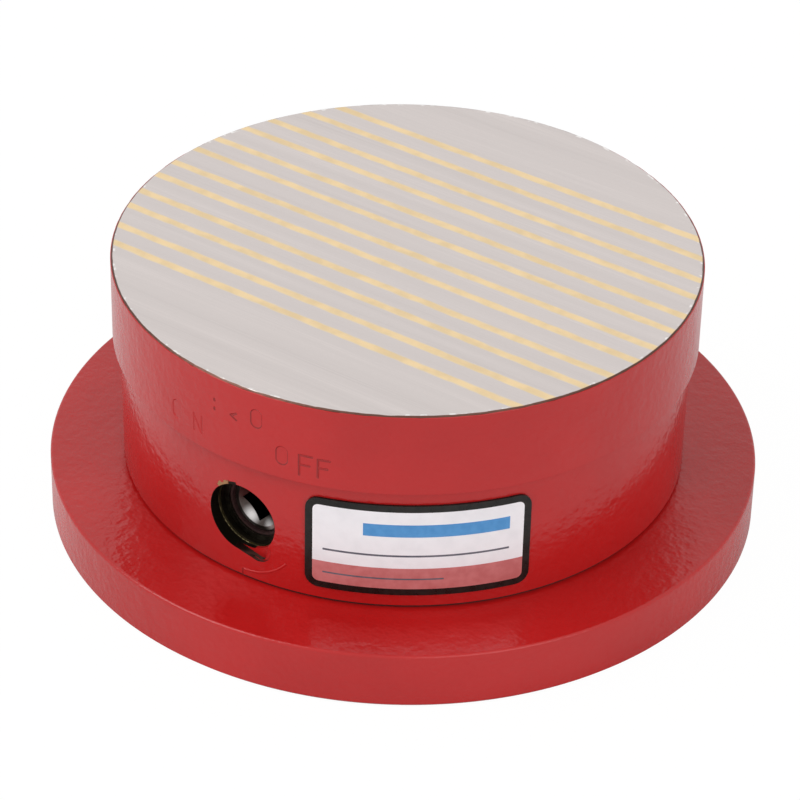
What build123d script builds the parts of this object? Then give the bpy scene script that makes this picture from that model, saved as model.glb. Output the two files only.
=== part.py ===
from build123d import *
from math import cos, floor, radians, sin, sqrt
import os

# Round permanent-magnet chuck with a half-turn key, a laminated pole plate and a flange.
# The origin is at the centre of the flange's underside, with +Z up. The key hole faces -Y, the
# pole bars run along X, and the magnet carriage slides along Y. The model stands switched off.

os.makedirs("parts", exist_ok=True)

# Outer sizes
housing_dia = 126.8
face_overhang = 1.6
flange_dia = 160.0
flange_thickness = 13.5
housing_height = 29.7
plate_thickness = 19.8
gasket_thickness = 0.5
flange_edge_chamfer = 0.8
flange_foot_chamfer = 0.8
housing_foot_chamfer = 0.3
plate_edge_chamfer = 0.3
plate_skirt_chamfer = 0.4

# Housing wall, flange spigot and underside
housing_wall = 11.4
spigot_height = 2.5
spigot_clearance = 0.1
gasket_inset = 0.3
register_dia = 30.0
register_depth = 5.0
fixing_circle_dia = 100.0
fixing_count = 4
fixing_drill_dia = 6.8
fixing_depth = 11.0

# Clamp screws and dowels
screw_circle_inset = 5.9
screw_dia = 6.0
screw_hole_clearance = 0.3
thread_clearance = 0.05
screw_head_dia = 10.0
screw_head_height = 6.0
screw_socket_flats = 5.0
screw_socket_depth = 3.0
head_recess_dia = 11.0
head_recess_depth = 7.0
long_screw_length = 45.0
short_screw_length = 16.0
thread_reserve = 2.0
end_screw_angles = (60, 120, 240, 300)
side_screw_angles = (0, 180)
dowel_dia = 5.0
dowel_length = 12.0
dowel_clearance = 0.03
dowel_angles = (75, 255)

# Pole plate
pole_bar_width = 4.2
land_bar_width = 5.5
strip_width = 2.35
pattern_shift = 2.7

# Magnet carriage
keeper_thickness = 5.0
magnet_width = 5.2
cage_rim = 3.0
cage_side_wall = 7.0
cage_web = 3.5
cavity_clearance = 0.5
ceiling_clearance = 0.4
keeper_screw_dia = 3.0
keeper_screw_length = 10.0
keeper_screw_head_dia = 6.0
keeper_screw_head_height = 2.0
keeper_screw_inset = 3.5
keeper_screw_spacing_y = 30.0

# Guides
rail_wall = 3.0
rail_foot_width = 9.0
rail_foot_height = 5.0
rail_length = 40.0
rail_top_clearance = 0.6
rail_end_clearance = 0.6
slide_clearance = 0.3
rail_screw_dia = 3.0
rail_screw_head_dia = 5.5
rail_screw_head_height = 3.0
rail_screw_socket_flats = 2.5
rail_screw_socket_depth = 1.5
rail_screw_length = 11.0
rail_screw_spacing = 28.0
wear_strip_width = 8.0
wear_strip_thickness = 1.0
wear_strip_inset = 6.0
wear_strip_end_room = 4.6
lift_clearance = 0.2

# Key hole, shaft and cam
key_offset = 2.1
mouth_lip = 1.7
mouth_depth = 5.1
plug_groove_setback = 3.0
plug_groove_width = 0.6
plug_groove_depth = 0.4
notch_dia = 6.2
notch_depth = 1.1
notch_reach = 7.8
notch_angle = 33.5
running_clearance = 0.06
sleeve_wall = 0.9
sleeve_clearance = 0.04
nose_dia = 13.0
nose_length = 1.5
nose_chamfer = 0.4
socket_flats = 6.4
socket_depth = 9.0
socket_lead_dia = 10.6
socket_lead_depth = 1.0
groove_depth = 2.8
groove_clearance = 0.2
groove_end_wall = 1.1
follower_inset = 3.6
roller_dia = 6.0
roller_bore_clearance = 0.05
pin_dia = 3.5
pin_head_room = 0.5
roller_end_clearance = 0.4
slot_side_clearance = 0.4
washer_thickness = 0.5
washer_bore_dia = 14.2
washer_clearance = 0.2
seal_clearance = 0.05
seal_gap = 2.6
ring_thickness = 1.0
ring_radial_width = 2.2
ring_seat_depth = 0.6
ring_clearance = 0.05
ring_gap_angle = 40.0
boss_end_wall = 1.0
boss_side_wall = 2.0
boss_roof = 1.1
boss_floor = 2.7
boss_clearance = 0.2
pocket_clearance = 0.5

# Badge
badge_angle = 37.8
badge_width = 48.4
badge_height = 23.2
badge_rise = 0.1
badge_thickness = 0.5
badge_corner = 3.0
badge_gap = 0.03

# Radii and levels that follow from them
housing_r = housing_dia / 2
face_r = housing_r + face_overhang
flange_r = flange_dia / 2
cavity_r = housing_r - housing_wall
screw_circle_r = housing_r - screw_circle_inset
housing_z = flange_thickness + gasket_thickness
housing_top_z = housing_z + housing_height
plate_z = housing_top_z + gasket_thickness
spigot_z = flange_thickness + spigot_height
badge_z = housing_z + housing_height / 2 + badge_rise

# Levels of the carriage
keeper_z = spigot_z + wear_strip_thickness + lift_clearance
cage_z = keeper_z + keeper_thickness
cage_top_z = plate_z - ceiling_clearance
web_z = cage_top_z - cage_web

# The key axis lies halfway up the room that the flange and the cage's web leave for the boss,
# and the drum takes what the boss's walls leave of that room
boss_bottom_z = spigot_z + boss_clearance
boss_top_z = web_z - slide_clearance
drum_bore_r = (boss_top_z - boss_roof - boss_bottom_z - boss_floor) / 2
key_height = boss_bottom_z + boss_floor + drum_bore_r
sleeve_r = drum_bore_r - sleeve_clearance
sleeve_bore_r = sleeve_r - sleeve_wall
drum_r = sleeve_bore_r - running_clearance
groove_root_r = drum_r - groove_depth
mouth_r = drum_bore_r - mouth_lip
ring_seat_r = drum_bore_r + ring_seat_depth
boss_half_width = drum_bore_r + boss_side_wall

# The bars repeat at the pole pitch, and half the distance between a pole bar and a land bar
# is the carriage's stroke. There are as many bars as the cage has room for rows below them.
pole_pitch = pole_bar_width + land_bar_width + 2 * strip_width
stroke = pole_pitch / 4
outline_r = cavity_r - cavity_clearance
rows_half_span = outline_r - cage_rim - pattern_shift - stroke - magnet_width / 2
pole_bar_count = floor(2 * rows_half_span / pole_pitch) + 1
first_pole_y = pattern_shift - (pole_bar_count - 1) / 2 * pole_pitch
pole_centres = [first_pole_y + i * pole_pitch for i in range(pole_bar_count)]
land_centres = [y + pole_pitch / 2 for y in pole_centres[:-1]]
strip_centres = []
for pole_y in pole_centres:
    strip_centres.append(pole_y - (pole_bar_width + strip_width) / 2)
    strip_centres.append(pole_y + (pole_bar_width + strip_width) / 2)
front_segment_y = strip_centres[0] - strip_width / 2
rear_segment_y = strip_centres[-1] + strip_width / 2

# Stations along the key axis, as distances from the chuck's centre towards the key hole
groove_width = roller_dia + 2 * groove_clearance
step_d = housing_r - mouth_depth
drum_front_d = step_d - seal_gap
follower_on_d = cavity_r - follower_inset
follower_off_d = follower_on_d - stroke
drum_rear_d = follower_off_d - groove_width / 2 - groove_end_wall
ring_front_d = drum_rear_d - 2 * ring_clearance
ring_rear_d = ring_front_d - ring_thickness
boss_end_d = ring_rear_d - boss_end_wall
pocket_on_d = boss_end_d - pocket_clearance
nose_face_d = drum_front_d + nose_length
plug_groove_d = housing_r - plug_groove_setback
notch_d = housing_r - notch_depth

# The key axis: local X is up and local Z points out of the key hole
key_plane = Plane(origin=(key_offset, 0, key_height), x_dir=(0, 0, 1), z_dir=(0, -1, 0))

# The carriage's own frame: its centre is the chuck's centre when switched on, and at rest it
# stands one stroke away from the key
carriage_plane = Plane(origin=(0, stroke, 0))

# The rails' feet reach out to the cavity's wall, and the carriage fills the width between the
# rails. The rail screws stand in the feet, outside the guiding walls.
rail_outer_x = sqrt((cavity_r - rail_end_clearance) ** 2 - (rail_length / 2) ** 2)
rail_inner_x = rail_outer_x - rail_foot_width
rail_top_z = plate_z - rail_top_clearance
rail_screw_x = rail_inner_x + (rail_wall + rail_foot_width) / 2
carriage_half_width = rail_inner_x - slide_clearance
magnet_max_length = 2 * (carriage_half_width - cage_side_wall)
keeper_screw_spacing_x = 2 * (carriage_half_width - keeper_screw_inset)
wear_strip_x = carriage_half_width - wear_strip_inset - wear_strip_width / 2
wear_strip_reach = cavity_r - wear_strip_end_room
wear_strip_length = 2 * sqrt(wear_strip_reach**2 - (wear_strip_x + wear_strip_width / 2) ** 2)


def circle_points(angles, radius):
    """Points at the given angles on a circle about the chuck's axis."""
    return [(radius * cos(radians(a)), radius * sin(radians(a))) for a in angles]


def row_length(row_y):
    """Length of a magnet row that leaves the cage's rim whole inside its outline."""
    room_r = outline_r - cage_rim
    far_y = max(abs(row_y) + magnet_width / 2, abs(row_y + stroke) + magnet_width / 2)
    return min(magnet_max_length, 2 * sqrt(room_r**2 - far_y**2))


# Flange with its spigot, register recess and screw holes
with BuildPart() as base_flange:
    with BuildSketch():
        Circle(flange_r)
    extrude(amount=flange_thickness)
    chamfer(base_flange.edges().group_by(Axis.Z)[-1], length=flange_edge_chamfer)
    chamfer(base_flange.edges().group_by(Axis.Z)[0], length=flange_foot_chamfer)
    with BuildSketch(Plane.XY.offset(flange_thickness)):
        Circle(cavity_r - spigot_clearance)
    extrude(amount=spigot_height)
    with BuildSketch():
        Circle(register_dia / 2)
    extrude(amount=register_depth, mode=Mode.SUBTRACT)
    with BuildSketch():
        with PolarLocations(fixing_circle_dia / 2, fixing_count, start_angle=180 / fixing_count):
            Circle(fixing_drill_dia / 2)
    extrude(amount=fixing_depth, mode=Mode.SUBTRACT)
    with BuildSketch():
        with Locations(*circle_points(end_screw_angles + side_screw_angles, screw_circle_r)):
            Circle(screw_dia / 2 + screw_hole_clearance)
    extrude(amount=flange_thickness, mode=Mode.SUBTRACT)
    with BuildSketch():
        with Locations(*circle_points(end_screw_angles + side_screw_angles, screw_circle_r)):
            Circle(head_recess_dia / 2)
    extrude(amount=head_recess_depth, mode=Mode.SUBTRACT)
    with BuildSketch(Plane.XY.offset(spigot_z)):
        with GridLocations(2 * rail_screw_x, rail_screw_spacing, 2, 2):
            Circle(rail_screw_dia / 2 + thread_clearance)
    extrude(amount=rail_foot_height - rail_screw_length - thread_reserve, mode=Mode.SUBTRACT)
base_flange.part.label = "base_flange"
export_step(base_flange.part, "parts/base_flange.step")

# Gasket between flange and housing
with BuildPart() as base_gasket:
    with BuildSketch(Plane.XY.offset(flange_thickness)):
        Circle(housing_r - housing_foot_chamfer - gasket_inset)
        Circle(cavity_r + spigot_clearance, mode=Mode.SUBTRACT)
        with Locations(*circle_points(end_screw_angles + side_screw_angles, screw_circle_r)):
            Circle(screw_dia / 2 + screw_hole_clearance, mode=Mode.SUBTRACT)
    extrude(amount=gasket_thickness)
base_gasket.part.label = "base_gasket"
export_step(base_gasket.part, "parts/base_gasket.step")

# Housing: a ring wall with a boss inside for the key shaft, and a stepped bore through both
with BuildPart() as housing:
    with BuildSketch(Plane.XY.offset(housing_z)):
        Circle(housing_r)
    extrude(amount=housing_height)
    chamfer(housing.edges().group_by(Axis.Z)[0], length=housing_foot_chamfer)
    with BuildSketch(Plane.XY.offset(housing_z)):
        Circle(cavity_r)
    extrude(amount=housing_height, mode=Mode.SUBTRACT)
    with BuildSketch(Plane.XY.offset(boss_bottom_z)):
        with Locations((key_offset, -(boss_end_d + cavity_r + housing_wall / 2) / 2)):
            Rectangle(2 * boss_half_width, cavity_r + housing_wall / 2 - boss_end_d)
    extrude(amount=boss_top_z - boss_bottom_z)
    with BuildSketch(key_plane):
        Circle(mouth_r)
    extrude(amount=flange_r, mode=Mode.SUBTRACT)
    with BuildSketch(key_plane.offset(plug_groove_d)):
        Circle(mouth_r + plug_groove_depth)
    extrude(amount=-plug_groove_width, mode=Mode.SUBTRACT)
    with BuildSketch(key_plane.offset(notch_d)):
        with PolarLocations(notch_reach, 1, start_angle=180 + notch_angle):
            Circle(notch_dia / 2)
    extrude(amount=notch_depth, mode=Mode.SUBTRACT)
    with BuildSketch(key_plane):
        Circle(drum_bore_r)
    extrude(amount=step_d, mode=Mode.SUBTRACT)
    with BuildSketch(key_plane.offset(ring_rear_d - ring_clearance)):
        Circle(ring_seat_r)
    extrude(amount=ring_thickness + 2 * ring_clearance, mode=Mode.SUBTRACT)
    with BuildSketch(Plane.XY.offset(key_height)):
        with Locations((key_offset, -(follower_on_d + groove_width / 2 + boss_end_d) / 2)):
            Rectangle(
                roller_dia + 2 * slot_side_clearance,
                follower_on_d + groove_width / 2 - boss_end_d,
            )
    extrude(amount=boss_top_z - key_height, mode=Mode.SUBTRACT)
    with BuildSketch(Plane.XY.offset(housing_z)):
        with Locations(*circle_points(end_screw_angles, screw_circle_r)):
            Circle(screw_dia / 2 + screw_hole_clearance)
    extrude(amount=housing_height, mode=Mode.SUBTRACT)
    with BuildSketch(Plane.XY.offset(housing_z)):
        with Locations(*circle_points(side_screw_angles, screw_circle_r)):
            Circle(screw_dia / 2 + thread_clearance)
    extrude(
        amount=head_recess_depth + short_screw_length - housing_z + thread_reserve,
        mode=Mode.SUBTRACT,
    )
    with BuildSketch(Plane.XY.offset(housing_top_z)):
        with Locations(*circle_points(dowel_angles, screw_circle_r)):
            Circle(dowel_dia / 2 + dowel_clearance)
    extrude(amount=-(dowel_length - gasket_thickness) / 2, mode=Mode.SUBTRACT)
housing.part.label = "housing"
export_step(housing.part, "parts/housing.step")

# Gasket between housing and pole plate
with BuildPart() as plate_gasket:
    with BuildSketch(Plane.XY.offset(housing_top_z)):
        Circle(housing_r - gasket_inset)
        Circle(cavity_r, mode=Mode.SUBTRACT)
        with Locations(*circle_points(end_screw_angles, screw_circle_r)):
            Circle(screw_dia / 2 + screw_hole_clearance, mode=Mode.SUBTRACT)
        with Locations(*circle_points(dowel_angles, screw_circle_r)):
            Circle(dowel_dia / 2 + dowel_clearance, mode=Mode.SUBTRACT)
    extrude(amount=gasket_thickness)
plate_gasket.part.label = "plate_gasket"
export_step(plate_gasket.part, "parts/plate_gasket.step")

# The whole pole plate as one disc, which is cut across into its bars and strips below
with BuildPart() as plate_disc:
    with BuildSketch(Plane.XY.offset(plate_z)):
        Circle(face_r)
    extrude(amount=plate_thickness)
    chamfer(plate_disc.edges().group_by(Axis.Z)[-1], length=plate_edge_chamfer)
    chamfer(plate_disc.edges().group_by(Axis.Z)[0], length=plate_skirt_chamfer)
    with BuildSketch(Plane.XY.offset(plate_z)):
        with Locations(*circle_points(end_screw_angles, screw_circle_r)):
            Circle(screw_dia / 2 + thread_clearance)
    extrude(
        amount=head_recess_depth + long_screw_length - plate_z + thread_reserve,
        mode=Mode.SUBTRACT,
    )
    with BuildSketch(Plane.XY.offset(plate_z)):
        with Locations(*circle_points(dowel_angles, screw_circle_r)):
            Circle(dowel_dia / 2 + dowel_clearance)
    extrude(amount=(dowel_length - gasket_thickness) / 2, mode=Mode.SUBTRACT)


def export_slice(name, low_y, high_y):
    """Cut one bar out of the plate disc, between two planes across it."""
    with BuildPart() as plate_slice:
        add(plate_disc.part)
        with BuildSketch(Plane.XY.offset(plate_z), mode=Mode.PRIVATE) as band:
            with Locations((0, (low_y + high_y) / 2)):
                Rectangle(2 * face_r, high_y - low_y)
        extrude(band.sketch, amount=plate_thickness, mode=Mode.INTERSECT)
    plate_slice.part.label = name
    export_step(plate_slice.part, f"parts/{name}.step")


export_slice("plate_segment_front", -face_r, front_segment_y)
export_slice("plate_segment_rear", rear_segment_y, face_r)
for number, centre_y in enumerate(pole_centres, 1):
    export_slice(f"pole_bar_{number}", centre_y - pole_bar_width / 2, centre_y + pole_bar_width / 2)
for number, centre_y in enumerate(land_centres, 1):
    export_slice(f"land_bar_{number}", centre_y - land_bar_width / 2, centre_y + land_bar_width / 2)
for number, centre_y in enumerate(strip_centres, 1):
    export_slice(f"brass_strip_{number}", centre_y - strip_width / 2, centre_y + strip_width / 2)

# Clamp screws, heads down in the flange: the long ones reach the pole plate's solid segments,
# the short ones hold the housing beside the bars
for name, length, angles in (
    ("clamp_screws_long", long_screw_length, end_screw_angles),
    ("clamp_screws_short", short_screw_length, side_screw_angles),
):
    with BuildPart() as clamp_screws:
        with BuildSketch(Plane.XY.offset(head_recess_depth)):
            with Locations(*circle_points(angles, screw_circle_r)):
                Circle(screw_head_dia / 2)
        extrude(amount=-screw_head_height)
        with BuildSketch(Plane.XY.offset(head_recess_depth)):
            with Locations(*circle_points(angles, screw_circle_r)):
                Circle(screw_dia / 2)
        extrude(amount=length)
        with BuildSketch(Plane.XY.offset(head_recess_depth - screw_head_height)):
            with Locations(*circle_points(angles, screw_circle_r)):
                RegularPolygon(screw_socket_flats / 2, 6, major_radius=False)
        extrude(amount=screw_socket_depth, mode=Mode.SUBTRACT)
    clamp_screws.part.label = name
    export_step(clamp_screws.part, f"parts/{name}.step")

# Dowel pins across the seam
with BuildPart() as dowel_pins:
    with BuildSketch(Plane.XY.offset(housing_top_z + (gasket_thickness - dowel_length) / 2)):
        with Locations(*circle_points(dowel_angles, screw_circle_r)):
            Circle(dowel_dia / 2)
    extrude(amount=dowel_length)
dowel_pins.part.label = "dowel_pins"
export_step(dowel_pins.part, "parts/dowel_pins.step")

# Guide rails of L section beside the carriage, screwed down through their feet
for name, side in (("guide_rail_left", -1), ("guide_rail_right", 1)):
    with BuildPart() as guide_rail:
        with BuildSketch(Plane.XZ.offset(-rail_length / 2)):
            with BuildLine():
                Polyline(
                    (side * rail_inner_x, spigot_z),
                    (side * (rail_inner_x + rail_foot_width), spigot_z),
                    (side * (rail_inner_x + rail_foot_width), spigot_z + rail_foot_height),
                    (side * (rail_inner_x + rail_wall), spigot_z + rail_foot_height),
                    (side * (rail_inner_x + rail_wall), rail_top_z),
                    (side * rail_inner_x, rail_top_z),
                    close=True,
                )
            make_face()
        extrude(amount=rail_length)
        with BuildSketch(Plane.XY.offset(spigot_z)):
            with Locations((side * rail_screw_x, 0)):
                with GridLocations(0, rail_screw_spacing, 1, 2):
                    Circle(rail_screw_dia / 2 + screw_hole_clearance)
        extrude(amount=rail_foot_height, mode=Mode.SUBTRACT)
    guide_rail.part.label = name
    export_step(guide_rail.part, f"parts/{name}.step")

with BuildPart() as rail_screws:
    with BuildSketch(Plane.XY.offset(spigot_z + rail_foot_height)):
        with GridLocations(2 * rail_screw_x, rail_screw_spacing, 2, 2):
            Circle(rail_screw_head_dia / 2)
    extrude(amount=rail_screw_head_height)
    with BuildSketch(Plane.XY.offset(spigot_z + rail_foot_height)):
        with GridLocations(2 * rail_screw_x, rail_screw_spacing, 2, 2):
            Circle(rail_screw_dia / 2)
    extrude(amount=-rail_screw_length)
    with BuildSketch(Plane.XY.offset(spigot_z + rail_foot_height + rail_screw_head_height)):
        with GridLocations(2 * rail_screw_x, rail_screw_spacing, 2, 2):
            RegularPolygon(rail_screw_socket_flats / 2, 6, major_radius=False)
    extrude(amount=-rail_screw_socket_depth, mode=Mode.SUBTRACT)
rail_screws.part.label = "rail_screws"
export_step(rail_screws.part, "parts/rail_screws.step")

# Wear strips that carry the carriage
with BuildPart() as wear_strips:
    with BuildSketch(Plane.XY.offset(spigot_z)):
        with GridLocations(2 * wear_strip_x, 0, 2, 1):
            Rectangle(wear_strip_width, wear_strip_length)
    extrude(amount=wear_strip_thickness)
wear_strips.part.label = "wear_strips"
export_step(wear_strips.part, "parts/wear_strips.step")

# The carriage's outline: round, so that it clears the cavity when on and when off, with two
# flats for the rails and a pocket that clears the boss
with BuildSketch() as carriage_outline:
    Circle(outline_r)
    with Locations((0, -stroke)):
        Circle(outline_r, mode=Mode.INTERSECT)
    Rectangle(2 * carriage_half_width, 2 * outline_r, mode=Mode.INTERSECT)
with BuildSketch() as boss_pocket:
    with Locations((key_offset, -(pocket_on_d + cavity_r) / 2)):
        Rectangle(2 * (boss_half_width + pocket_clearance), cavity_r - pocket_on_d)

# Steel keeper plate under the magnets
with BuildPart() as keeper_plate:
    with BuildSketch(carriage_plane.offset(keeper_z)):
        add(carriage_outline.sketch)
        add(boss_pocket.sketch, mode=Mode.SUBTRACT)
    extrude(amount=keeper_thickness)
    with Locations(carriage_plane.offset(keeper_z)):
        with GridLocations(keeper_screw_spacing_x, keeper_screw_spacing_y, 2, 2):
            Cylinder(
                keeper_screw_head_dia / 2 + thread_clearance,
                keeper_screw_head_height + thread_clearance,
                align=(Align.CENTER, Align.CENTER, Align.MIN),
                mode=Mode.SUBTRACT,
            )
            Cylinder(
                keeper_screw_dia / 2 + thread_clearance,
                keeper_thickness,
                align=(Align.CENTER, Align.CENTER, Align.MIN),
                mode=Mode.SUBTRACT,
            )
keeper_plate.part.label = "keeper_plate"
export_step(keeper_plate.part, "parts/keeper_plate.step")

# Cage that holds the magnet rows, with a web over the boss for the follower pin
with BuildPart() as magnet_cage:
    with BuildSketch(carriage_plane.offset(cage_z)):
        add(carriage_outline.sketch)
    extrude(amount=cage_top_z - cage_z)
    with BuildSketch(carriage_plane.offset(cage_z)):
        add(boss_pocket.sketch)
    extrude(amount=web_z - cage_z, mode=Mode.SUBTRACT)
    with BuildSketch(carriage_plane.offset(cage_z)):
        for row_y in pole_centres + land_centres:
            with Locations((0, row_y)):
                Rectangle(row_length(row_y), magnet_width)
    extrude(amount=cage_top_z - cage_z, mode=Mode.SUBTRACT)
    with BuildSketch(carriage_plane.offset(cage_z)):
        with GridLocations(keeper_screw_spacing_x, keeper_screw_spacing_y, 2, 2):
            Circle(keeper_screw_dia / 2 + thread_clearance)
    extrude(amount=keeper_screw_length - keeper_thickness + thread_reserve, mode=Mode.SUBTRACT)
    with BuildSketch(carriage_plane.offset(web_z)):
        with Locations((key_offset, -follower_on_d)):
            Circle(pin_dia / 2)
    extrude(amount=cage_top_z - web_z, mode=Mode.SUBTRACT)
magnet_cage.part.label = "magnet_cage"
export_step(magnet_cage.part, "parts/magnet_cage.step")

# Magnet rows: north faces up under the pole bars when on, south faces up under the land bars
for name, rows in (("magnets_north", pole_centres), ("magnets_south", land_centres)):
    with BuildPart() as magnets:
        with BuildSketch(carriage_plane.offset(cage_z)):
            for row_y in rows:
                with Locations((0, row_y)):
                    Rectangle(row_length(row_y), magnet_width)
        extrude(amount=cage_top_z - cage_z)
    magnets.part.label = name
    export_step(magnets.part, f"parts/{name}.step")

with BuildPart() as keeper_screws:
    with Locations(carriage_plane.offset(keeper_z)):
        with GridLocations(keeper_screw_spacing_x, keeper_screw_spacing_y, 2, 2):
            Cylinder(
                keeper_screw_head_dia / 2,
                keeper_screw_head_height,
                align=(Align.CENTER, Align.CENTER, Align.MIN),
            )
            Cylinder(
                keeper_screw_dia / 2,
                keeper_screw_length,
                align=(Align.CENTER, Align.CENTER, Align.MIN),
            )
keeper_screws.part.label = "keeper_screws"
export_step(keeper_screws.part, "parts/keeper_screws.step")

# Follower pin, pressed into the web, and the roller that it carries in the cam groove
follower_tip_z = key_height + groove_root_r + roller_end_clearance
with BuildPart() as follower_pin:
    with BuildSketch(carriage_plane.offset(follower_tip_z)):
        with Locations((key_offset, -follower_on_d)):
            Circle(pin_dia / 2)
    extrude(amount=cage_top_z - pin_head_room - follower_tip_z)
follower_pin.part.label = "follower_pin"
export_step(follower_pin.part, "parts/follower_pin.step")

with BuildPart() as follower_roller:
    with BuildSketch(carriage_plane.offset(follower_tip_z)):
        with Locations((key_offset, -follower_on_d)):
            Circle(roller_dia / 2)
            Circle(pin_dia / 2 + roller_bore_clearance, mode=Mode.SUBTRACT)
    extrude(amount=web_z - slide_clearance - follower_tip_z)
follower_roller.part.label = "follower_roller"
export_step(follower_roller.part, "parts/follower_roller.step")

# Key shaft, turned along its own axis: nose with the square socket, then the cam drum
with BuildPart() as turned_shaft:
    with BuildSketch(Plane.XY.offset(drum_rear_d)):
        Circle(drum_r)
    extrude(amount=drum_front_d - drum_rear_d)
    with BuildSketch(Plane.XY.offset(drum_front_d)):
        Circle(nose_dia / 2)
    extrude(amount=nose_length)
    chamfer(turned_shaft.edges().group_by(Axis.Z)[-1], length=nose_chamfer)
    with Locations((0, 0, nose_face_d)):
        Cone(
            socket_flats / 2,
            socket_lead_dia / 2,
            socket_lead_depth,
            align=(Align.CENTER, Align.CENTER, Align.MAX),
            mode=Mode.SUBTRACT,
        )
    with BuildSketch(Plane.XY.offset(nose_face_d)):
        Rectangle(socket_flats, socket_flats, rotation=45)
    extrude(amount=-socket_depth, mode=Mode.SUBTRACT)
    # The cam groove: a radial slot that falls back by one stroke over half a turn
    groove_mid_r = drum_r - groove_depth / 2 + groove_clearance / 2
    with BuildLine() as groove_line:
        Helix(
            pitch=2 * stroke,
            height=stroke,
            radius=groove_mid_r,
            center=(0, 0, follower_off_d),
            lefthand=True,
        )
    with BuildSketch(Plane.XZ) as groove_section:
        with Locations((groove_mid_r, follower_off_d)):
            Rectangle(groove_depth + groove_clearance, groove_width)
    sweep(path=groove_line.line, is_frenet=True, mode=Mode.SUBTRACT)
    for end_d, turn in ((follower_off_d, 90), (follower_on_d, -90)):
        with Locations(Location((0, 0, end_d), (0, turn, 0))):
            with Locations((0, 0, groove_root_r)):
                Cylinder(
                    groove_width / 2,
                    groove_depth + groove_clearance,
                    align=(Align.CENTER, Align.CENTER, Align.MIN),
                    mode=Mode.SUBTRACT,
                )
with BuildPart(key_plane) as key_shaft:
    add(turned_shaft.part)
key_shaft.part.label = "key_shaft"
export_step(key_shaft.part, "parts/key_shaft.step")

# Bronze sleeve round the drum, open at the top where the follower passes
with BuildPart() as bearing_sleeve:
    with BuildSketch(key_plane.offset(drum_rear_d)):
        Circle(sleeve_r)
        Circle(sleeve_bore_r, mode=Mode.SUBTRACT)
    extrude(amount=drum_front_d - drum_rear_d)
    with BuildSketch(Plane.XY.offset(key_height)):
        with Locations((key_offset, -(follower_on_d + groove_width / 2 + boss_end_d) / 2)):
            Rectangle(
                roller_dia + 2 * slot_side_clearance,
                follower_on_d + groove_width / 2 - boss_end_d,
            )
    extrude(amount=sleeve_r, mode=Mode.SUBTRACT)
bearing_sleeve.part.label = "bearing_sleeve"
export_step(bearing_sleeve.part, "parts/bearing_sleeve.step")

# Seal round the nose, and the washer in front of it
with BuildPart() as shaft_seal:
    with BuildSketch(key_plane.offset(drum_front_d + seal_clearance)):
        Circle(drum_bore_r - washer_clearance)
        Circle(nose_dia / 2 + seal_clearance, mode=Mode.SUBTRACT)
    extrude(amount=seal_gap - washer_thickness - 3 * seal_clearance)
shaft_seal.part.label = "shaft_seal"
export_step(shaft_seal.part, "parts/shaft_seal.step")

with BuildPart() as seal_washer:
    with BuildSketch(key_plane.offset(step_d - seal_clearance)):
        Circle(drum_bore_r - washer_clearance)
        Circle(washer_bore_dia / 2, mode=Mode.SUBTRACT)
    extrude(amount=-washer_thickness)
seal_washer.part.label = "seal_washer"
export_step(seal_washer.part, "parts/seal_washer.step")

# Retaining ring behind the drum, snapped into the boss, with its gap at the bottom
with BuildPart() as retaining_ring:
    with BuildSketch(key_plane.offset(ring_rear_d)):
        Circle(ring_seat_r - ring_clearance)
        Circle(ring_seat_r - ring_clearance - ring_radial_width, mode=Mode.SUBTRACT)
        with BuildLine():
            gap_edge = Line((0, 0), Vector(-drum_bore_r * 2, 0).rotate(Axis.Z, ring_gap_angle / 2))
            Line(gap_edge @ 1, Vector(-drum_bore_r * 2, 0).rotate(Axis.Z, -ring_gap_angle / 2))
            Line((0, 0), Vector(-drum_bore_r * 2, 0).rotate(Axis.Z, -ring_gap_angle / 2))
        make_face(mode=Mode.SUBTRACT)
    extrude(amount=ring_thickness)
retaining_ring.part.label = "retaining_ring"
export_step(retaining_ring.part, "parts/retaining_ring.step")

# Badge plate, bent to the housing's wall
badge_plane = Plane(
    origin=(0, 0, badge_z),
    x_dir=(cos(radians(badge_angle)), sin(radians(badge_angle)), 0),
    z_dir=(sin(radians(badge_angle)), -cos(radians(badge_angle)), 0),
)
with BuildPart() as badge_plate:
    with BuildSketch(badge_plane):
        RectangleRounded(badge_width, badge_height, badge_corner)
    extrude(amount=flange_r)
    with BuildSketch(Plane.XY.offset(housing_z), mode=Mode.PRIVATE) as badge_shell:
        Circle(housing_r + badge_gap + badge_thickness)
        Circle(housing_r + badge_gap, mode=Mode.SUBTRACT)
    extrude(badge_shell.sketch, amount=housing_height, mode=Mode.INTERSECT)
badge_plate.part.label = "badge_plate"
export_step(badge_plate.part, "parts/badge_plate.step")
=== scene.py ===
import math

import bmesh
import bpy
from bpy.props import FloatProperty, FloatVectorProperty, PointerProperty
from bpy.types import NodeSocket, Operator, Panel, PropertyGroup
from mathutils import Matrix, Vector, noise


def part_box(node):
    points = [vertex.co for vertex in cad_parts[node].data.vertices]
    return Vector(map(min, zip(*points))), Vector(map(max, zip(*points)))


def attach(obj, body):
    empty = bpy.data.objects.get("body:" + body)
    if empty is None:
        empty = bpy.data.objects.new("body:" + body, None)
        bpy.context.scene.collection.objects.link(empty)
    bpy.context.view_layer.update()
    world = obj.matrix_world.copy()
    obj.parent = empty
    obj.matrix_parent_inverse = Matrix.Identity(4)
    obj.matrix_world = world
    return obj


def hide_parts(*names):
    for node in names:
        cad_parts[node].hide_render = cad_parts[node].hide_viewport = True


bl_info = {
    "name": "Round magnetic chuck",
    "version": (1, 0, 0),
    "blender": (4, 5, 0),
    "location": "3D View > Sidebar > Chuck",
    "description": "Enamel, ground face, stamped marks and badge of a round magnetic chuck",
    "category": "Object",
}

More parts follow.
